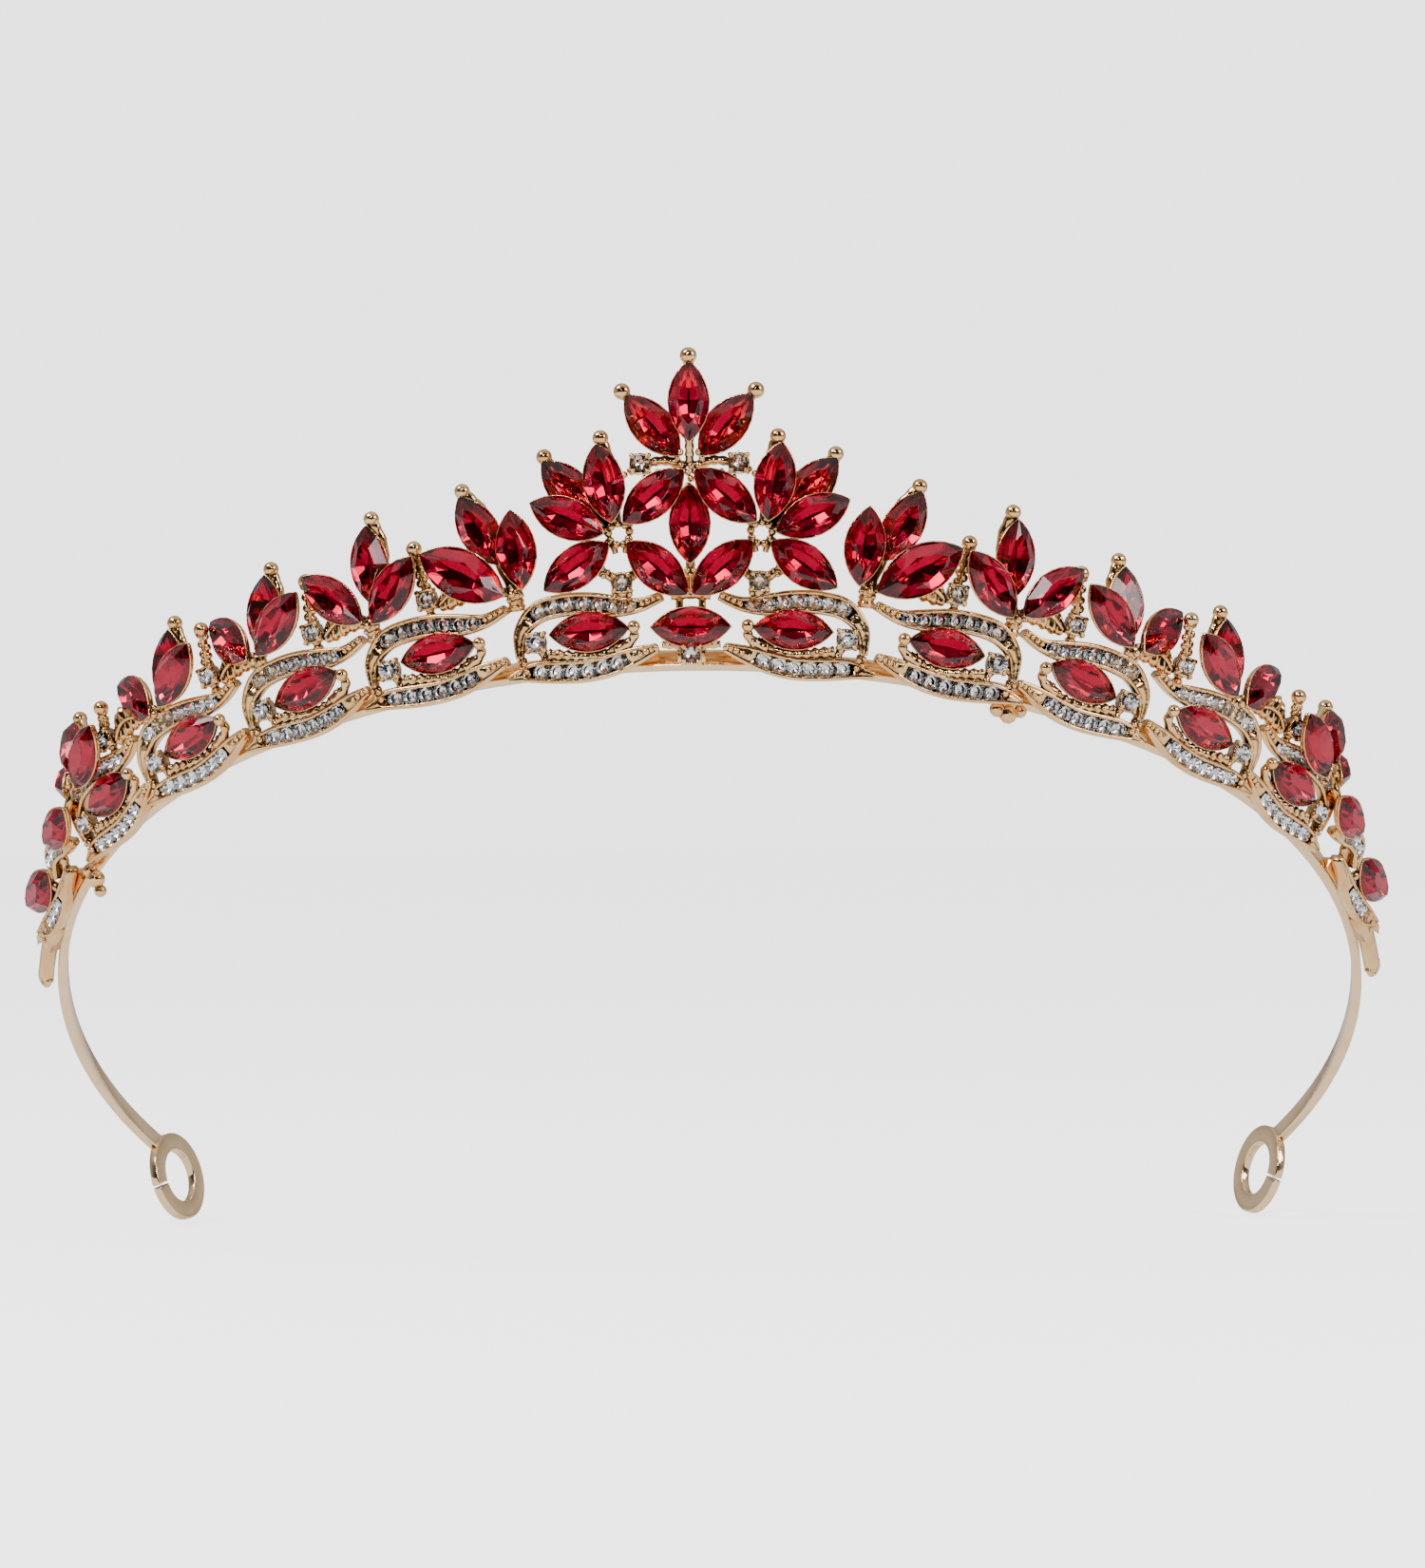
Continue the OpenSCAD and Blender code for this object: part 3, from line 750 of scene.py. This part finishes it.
GIRDLE = 0.965  # height of a girdle over the back of its setting
RIM = 0.25  # width of a setting round its stone


def petal_point(p, along, z=GIRDLE):
    """A point of a petal at a distance along it from its foot, in the hub's frame."""
    a, b = math.radians(p[2]), math.radians(p[5])
    run, rise = along * math.cos(b) - z * math.sin(b), along * math.sin(b) + z * math.cos(b)
    return np.array([p[0] + run * math.cos(a), p[1] + run * math.sin(a), p[6] + rise])


def petal_middle(p):
    return petal_point(p, p[3] / 2 + RIM)


def hub_place(stones, petals, side):
    """The hub's frame. A petal that doesn't lean gives its axes, the petals' middles its origin."""
    flat = [k for k, p in enumerate(petals) if p[5] == 0]
    inner = min(stones, key=lambda s: abs(s.centre[0])) if len(flat) < len(petals) else stones[0]
    place = inner.ornament_place(side)
    mean = np.mean([petal_middle(p) for p in petals], axis=0) * [side, 1, 1] * MM
    place.origin = np.mean([s.centre for s in stones], axis=0) - mean @ place.axes
    return place


def beaded_stem(form, place, p, start, bow):
    """A ribbed stem that passes behind a petal and ends in a bead just past its tip."""
    tip = petal_point(p, p[3] + 2 * RIM + 0.5, 0) + [-0.5, 0.1, 0.3]
    middle = petal_point(p, p[3] * 0.62, -0.3) + bow
    neck = tip + 0.12 * (middle - tip)
    path = smooth_path([start, middle, neck + [0, 0, -0.05], tip], 8)
    radii = ribbed(len(path), 0.5, 0.5, 7, 0.06) + 0.22 * np.sin(math.pi * np.linspace(0, 1, len(path)))
    tube(form, place, path, radii, flat=0.8)
    ball(form, place, tip, 0.85, sides=20)


def hub(form, place, size):
    """A knobbly foot where petals meet."""
    ball(form, place, [0, 0.2, 1.1], size, 0.8)
    around = 0.85 * size
    for k in range(6):
        a = math.radians(60 * k + 15)
        ball(form, place, [around * math.cos(a), 0.2 + around * math.sin(a), 1.45], 0.34, sides=10)
    ball(form, place, [0.1, 0.15, 1.95], 0.42, sides=10)


def petal_feet(form, place, petals):
    """Short ribbed bars from the hub to the foot of each petal."""
    for p in petals:
        rod(form, place, [0, 0.2, 1.0], petal_point(p, 1.2, 0.2), 0.55, 0.5, ribs=2, depth=0.05)


def fan(side, i):
    """A fan of petals on a hub, with a beaded stem and, past the first, the column beside it."""
    name, stone_name = f"{side}_fan_{i}", f"{side}_fan_stones_{i}"
    stones, petals = stones_of(stone_name), FANS[i - 1]
    place = hub_place(stones, petals, SIDES[side])
    form = Form()
    for s in stones:
        bezel(form, s)
    hub(form, place, 0.95)
    rod(form, place, [0, 0.2, 0.9], [0, -1.6, 0.7], 0.8, 0.95, ribs=3, depth=0.08)
    petal_feet(form, place, petals)
    beaded_stem(form, place, petals[BEADED[i - 1]], [-0.3, 0.6, 0.5], [-1.25, 0.1, 0])
    if i > 1:
        column(form, side, middle_of(name), COLUMN_TOPS[i - 2])
    form.build(f"{name}_casting", [CAST], "cast_gold", name)
    red_stones(stones, f"{name}_gems", stone_name)


def column(form, side, near, top):
    """A zig-zag beaded column with a seat, a bead on top and a small veined leaf."""
    same = [c for c in ACCENTS if c.centre[0] * SIDES[side] > 0]
    chip = min(same, key=lambda c: np.linalg.norm(c.centre - near))
    place = chip.place(SIDES[side]).moved(0, 0, -SEAT_TOP)
    seat(form, place)
    rod(form, place, [0, -2.4, 0.6], [0, -0.6, 0.6], 0.6, 0.45, ribs=3, depth=0.1)
    path = smooth_path([[0, 0.8, 0.8], [top[0] * 0.5, top[1] * 0.5, 0.9], [top[0], top[1], 1.0]], 5)
    tube(form, place, path, 0.42)
    granules(form, place, path[2:-1], 0.5, both=0.34)
    ball(form, place, [top[0], top[1], 1.05], 0.85, sides=20)
    veined_leaf(form, place.moved(-1.0, -0.9, 0.35))


# bead of each column from its seat: [along, up]
COLUMN_TOPS = [[0.4, 5.6], [-0.8, 5.5], [-1.0, 5.0], [-1.4, 3.2]]


def veined_leaf(form, place):
    """A lobed leaf that points to the middle, with a raised vein and ribs."""
    rings = []
    n = 37
    for k in range(n):
        t = k / (n - 1)
        lobe = 0.14 * math.sin(10 * math.pi * t)
        w = (1.6 + lobe) * math.sin(math.pi * t**0.8) ** 0.7 + 0.05
        x, y = -5.6 * t, 1.3 * math.sin(math.pi * t)
        rib = 0.6 + 1.7 * lobe
        profile = [(-w, 0), (-w, 0.35), (-w * 0.55, rib), (0, 0.42), (w * 0.55, rib), (w, 0.35), (w, 0)]
        rings.append([[x, y + o, z] for o, z in profile])
    lofted(form, place, rings)
    vein = smooth_path([[0, 0, 0.5], [-1.8, 1.1, 0.65], [-3.7, 1.15, 0.62], [-5.4, 0.2, 0.5]], 5)
    tube(form, place, vein, 0.22)


def flower(side):
    """Six petals round an open ring of granules, with two beaded stems and a seat below."""
    name, stone_name = f"{side}_flower", f"{side}_flower_stones"
    stones = stones_of(stone_name)
    place = hub_place(stones, FLOWER, SIDES[side])
    form = Form()
    for s in stones:
        bezel(form, s)
    for k in range(9):
        a = math.radians(40 * k + 8)
        ball(form, place, [1.15 * math.cos(a), 1.15 * math.sin(a), 1.2 + 0.2 * (k % 2)], 0.46, sides=10)
    for p in FLOWER:
        a = math.radians(p[2])
        rod(form, place, [1.1 * math.cos(a), 1.1 * math.sin(a), 0.9], petal_point(p, 1.3, 0.2), 0.5, 0.45)
    for k in FLOWER_BEADED:
        beaded_stem(form, place, FLOWER[k], [0.3, 1.2, 0.5], [-0.9 + 1.5 * k, 0, 0])
    # the pillar is drawn from a point 14 mm below the hub
    low = place.moved(0, -14.0, 0)
    seat(form, low.moved(0, 8.9, 0))
    rod(form, low, [0, 6.4, 0.6], [0, 8.2, 0.6], 0.95, 0.8, ribs=3, depth=0.1)
    for x in (-1, 1):
        rod(form, low, [x * 0.8, 9.4, 0.8], [x * 2.7, 10.5, 0.9], 0.5, 0.55, ribs=2, depth=0.06)
        granules(form, low, [[x * 1.4, 10.1, 1.1], [x * 2.0, 10.5, 1.2], [x * 1.9, 9.7, 1.2]], 0.38)
        granules(form, low, [[x * 0.8, 6.9, 1.2], [x * 0.8, 7.6, 1.2]], 0.32)
        rod(form, low, [x * 0.7, 12.9, 0.9], [x * 0.5, 12.0, 0.8], 0.42, 0.3)
    form.build(f"{name}_casting", [CAST], "cast_gold", name)
    red_stones(stones, f"{name}_gems", stone_name)


PEAK = [[0, 23.4, 90, *STD, 0, 1.5], [1.1, 22.0, 49, *STD, 0, 0.6], [-1.1, 22.0, 131, *STD, 0, 0.6]]


def peak():
    """Three petals at the top, each with a bead on its tip, over two feet and two seats."""
    stones = stones_of("peak_stones")
    place = hub_place(stones, PEAK, 1)
    form = Form()
    for s in stones:
        bezel(form, s)
    for p in PEAK:
        tip = petal_point(p, p[3] + 2 * RIM + 0.6, 0) + [0, 0, 0.5]
        back = petal_point(p, p[3] * 0.7, -0.2)
        tube(form, place, smooth_path([back, (back + tip) / 2 + [0, 0, -0.1], tip], 6), 0.55)
        ball(form, place, tip, 0.9, sides=20)
    rod(form, place, [0, 21.2, 0.7], [0, 24.4, 1.6], 0.45, 0.5, ribs=4, depth=0.06)
    for x in (-1, 1):
        feet = [[x * 0.5, 20.4, 1.2], [x * 0.9, 21.0, 1.2], [x * 1.3, 21.7, 1.3], [x * 1.0, 22.4, 1.3]]
        granules(form, place, feet, 0.42)
        rod(form, place, [x * 0.4, 20.8, 0.6], [x * 4.3, 21.3, 0.6], 0.55, 0.48, 4, 0.07, (0, 0.5, 0))
        granules(form, place, [[x * 3.4, 20.4, 1.0], [x * 4.0, 20.0, 1.0], [x * 4.7, 19.8, 1.0]], 0.36)
        seat(form, place.moved(x * 5.2, 21.2, 0))
        granules(form, place, [[x * 6.3, 20.6, 0.9], [x * 6.9, 20.1, 0.9]], 0.4)
    granules(form, place, [[0, 18.9, 1.4], [0, 19.6, 1.4], [0, 20.2, 1.5], [0, 20.9, 1.5]], 0.4, both=0.15)
    form.build("peak_casting", [CAST], "cast_gold", "peak_spray")
    red_stones(stones, "peak_gems", "peak_stones")


def centre():
    """The middle stone of the row with its seat and links, and the single petal above it."""
    stone = nearest(ROW, middle_of("centre_vine"))
    place = stone.ornament_place(1).moved(0, -4.0, -ROW_GIRDLE)
    form = Form()
    bezel(form, stone)
    seat(form, place.moved(0, 1.1, 0))
    for x in (-1, 1):
        rod(form, place, [0, 2.0, 0.6], [x * 3.1, 2.2, 0.6], 0.45, 0.4, ribs=3, depth=0.06)
        rod(form, place, [0, 7.4, 0.6], [x * 2.1, 7.2, 0.6], 0.42, 0.38, ribs=3, depth=0.05)
        rod(form, place, [x * 1.2, 7.3, 0.6], [x * 1.2, 5.5, 0.8], 0.4)
        granules(form, place, [[x * 1.9, 2.3, 1.1], [x * 2.5, 2.35, 1.1]], 0.32)
    rod(form, place, [0, 1.8, 0.6], [0, 3.4, 0.8], 0.5)
    form.build("centre_casting", [CAST], "cast_gold", "centre_vine")
    top = stones_of("centre_stone")
    spray = Form()
    bezel(spray, top[0])
    rod(spray, place, [0, 7.8, 0.6], [0, 12, 1.4], 0.5, 0.5, ribs=5, depth=0.06)
    granules(spray, place, [[0, 9.4, 1.9], [-0.35, 9.9, 1.9], [0.35, 9.9, 1.9]], 0.36)
    spray.build("centre_spray_casting", [CAST], "cast_gold", "centre_spray")
    red_stones(top, "centre_gem", "centre_stone")


def red_stones(stones, name, *nodes):
    """Cut red stones in one piece, in place of some CAD nodes."""
    gems = Form()
    for s in stones:
        marquise(gems, s)
    gems.build(name, RED, "red_stone", *nodes)


# ---- band ----


def carried(name, material, bevel):
    """A CAD node shown as it is, with softened edges."""
    obj = NODES[name]
    obj.data.materials.clear()
    obj.data.materials.append(material)
    weld = obj.modifiers.new("weld", "WELD")
    weld.merge_threshold = 1e-6
    soft = obj.modifiers.new("soft edges", "BEVEL")
    soft.width = bevel * MM
    soft.segments = 3
    soft.limit_method = "ANGLE"
    soft.angle_limit = math.radians(35)
    soft.harden_normals = False
    obj.data.polygons.foreach_set("use_smooth", [True] * len(obj.data.polygons))


# ---- setting ----


def floor_sheet():
    """A pale sheet. It gives off more light to the camera than to the tiara."""
    z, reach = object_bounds()[0].z - 0.5 * MM, 3.0
    corners = [(-reach, -reach, z), (reach, -reach, z), (reach, reach, z), (-reach, reach, z)]
    mesh = bpy.data.meshes.new("floor")
    mesh.from_pydata(corners, [], [(0, 1, 2, 3)])
    sheet = bpy.data.objects.new("floor", mesh)
    bpy.context.scene.collection.objects.link(sheet)
    m, tree, bsdf = shader("floor_paper")
    bsdf.inputs["Base Color"].default_value = (0.8, 0.8, 0.8, 1)
    bsdf.inputs["Roughness"].default_value = 0.9
    bsdf.inputs["Specular IOR Level"].default_value = 0.0
    bsdf.inputs["Emission Color"].default_value = (1, 1, 1, 1)
    path, seen = tree.nodes.new("ShaderNodeLightPath"), tree.nodes.new("ShaderNodeMapRange")
    seen.inputs["To Min"].default_value = 0.25
    seen.inputs["To Max"].default_value = 2.4
    tree.links.new(path.outputs["Is Camera Ray"], seen.inputs["Value"])
    tree.links.new(seen.outputs["Result"], bsdf.inputs["Emission Strength"])
    mesh.materials.append(m)
    sheet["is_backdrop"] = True


def lights():
    """Three soft boxes: high on the left, on the right, and a small one in front."""
    lo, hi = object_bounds()
    middle = np.array((lo + hi) / 2)
    soft_box("key", middle + [-0.38, -0.30, 0.55], middle, 0.40, 4.2)
    soft_box("fill", middle + [0.5, -0.30, 0.3], middle, 0.34, 2.1)
    soft_box("strip", middle + [-0.05, -0.60, 0.30], middle, 0.08, 0.8)


def studio_world():
    """White all round for the camera. The tiara itself sees the studio's bright and dark sides."""
    world = bpy.data.worlds.new("studio")
    bpy.context.scene.world = world
    world.use_nodes = True
    tree = world.node_tree
    new, link = tree.nodes.new, tree.links.new
    studio = tree.nodes["Background"]
    studio.inputs["Strength"].default_value = 0.6
    link(studio_sides(tree), studio.inputs["Color"])
    white = new("ShaderNodeBackground")
    white.inputs["Strength"].default_value = 3.5
    path, mix = new("ShaderNodeLightPath"), new("ShaderNodeMixShader")
    link(path.outputs["Is Camera Ray"], mix.inputs["Fac"])
    link(studio.outputs["Background"], mix.inputs[1])
    link(white.outputs["Background"], mix.inputs[2])
    link(mix.outputs["Shader"], tree.nodes["World Output"].inputs["Surface"])


def studio_sides(tree):
    """Dark to the front and bright elsewhere, times bands of light and dark from floor to ceiling."""
    new, link = tree.nodes.new, tree.links.new
    coord, split = new("ShaderNodeTexCoord"), new("ShaderNodeSeparateXYZ")
    link(coord.outputs["Generated"], split.inputs["Vector"])
    front = ramp(tree, halved(tree, split.outputs["Y"]), [(0.16, grey(0.03)), (0.42, grey(0.9))])
    bands = [(0.2, 0.8), (0.42, 0.8), (0.48, 0.28), (0.55, 1.1), (0.72, 0.5), (0.95, 1.4)]
    high = ramp(tree, halved(tree, split.outputs["Z"]), [(at, grey(level)) for at, level in bands])
    both = new("ShaderNodeMixRGB")
    both.blend_type = "MULTIPLY"
    both.inputs["Fac"].default_value = 1
    link(front, both.inputs["Color1"])
    link(high, both.inputs["Color2"])
    return both.outputs["Color"]


def halved(tree, value):
    """A direction's part from -1 to 1 as 0 to 1."""
    node = tree.nodes.new("ShaderNodeMapRange")
    node.inputs["From Min"].default_value = -1
    tree.links.new(value, node.inputs["Value"])
    return node.outputs["Result"]


def soft_box(name, at, target, size, power):
    """A wide lamp at a point, turned to a target. size is in metres and power in watts."""
    light = bpy.data.lights.new(name, "AREA")
    light.shape = "RECTANGLE"
    light.size, light.size_y = size, size * 0.7
    light.energy = power
    obj = bpy.data.objects.new(name, light)
    obj.location = Vector(at)
    obj.rotation_euler = (Vector(target) - Vector(at)).to_track_quat("-Z", "Y").to_euler()
    bpy.context.scene.collection.objects.link(obj)


def camera():
    """Straight at the front from 0.49 m away, a little to one side, as the part stands in its frame."""
    data = bpy.data.cameras.new("camera")
    data.lens = 97.9
    data.sensor_width = 36
    data.dof.use_dof = False
    data.clip_start = 0.01
    obj = bpy.data.objects.new("camera", data)
    look = Vector((-0.0258, 0.9997, 0.0))
    turn = look.to_track_quat("-Z", "Y").to_matrix() @ Matrix.Rotation(math.radians(-0.52), 3, "Z")
    obj.matrix_world = Matrix.Translation((0.0137, -0.490, 0.0166)) @ turn.to_4x4()
    bpy.context.scene.collection.objects.link(obj)
    bpy.context.scene.camera = obj


ROW = stones_of("row_stones")
ACCENTS = chips_of("accent_stones")
for c in ACCENTS:
    # the nearest row stone tells which way is out
    row_out = nearest(ROW, c.centre).out
    if abs(c.out @ row_out) < 0.5:
        c.out = row_out
    if c.out @ row_out < 0:
        c.out = -c.out

for side in SIDES:
    for i in range(1, VINES + 1):
        vine(side, i)
    for i in range(1, len(FANS) + 1):
        fan(side, i)
    flower(side)
    carried(f"{side}_end_loop", SMOOTH, 0.2)
centre()
peak()
red_stones(ROW, "row_gems", "row_stones")
accents = Form()
for c in ACCENTS:
    brilliant(accents, c.place(1), c.size + 0.1)
accents.build("accent_gems", CLEAR, "clear_stone", "accent_stones")
carried("head_band", SMOOTH, 0.2)
carried("solder_pads", CAST, 0.1)
carried("solder_knobs", CAST, 0.15)

floor_sheet()
lights()
studio_world()
camera()
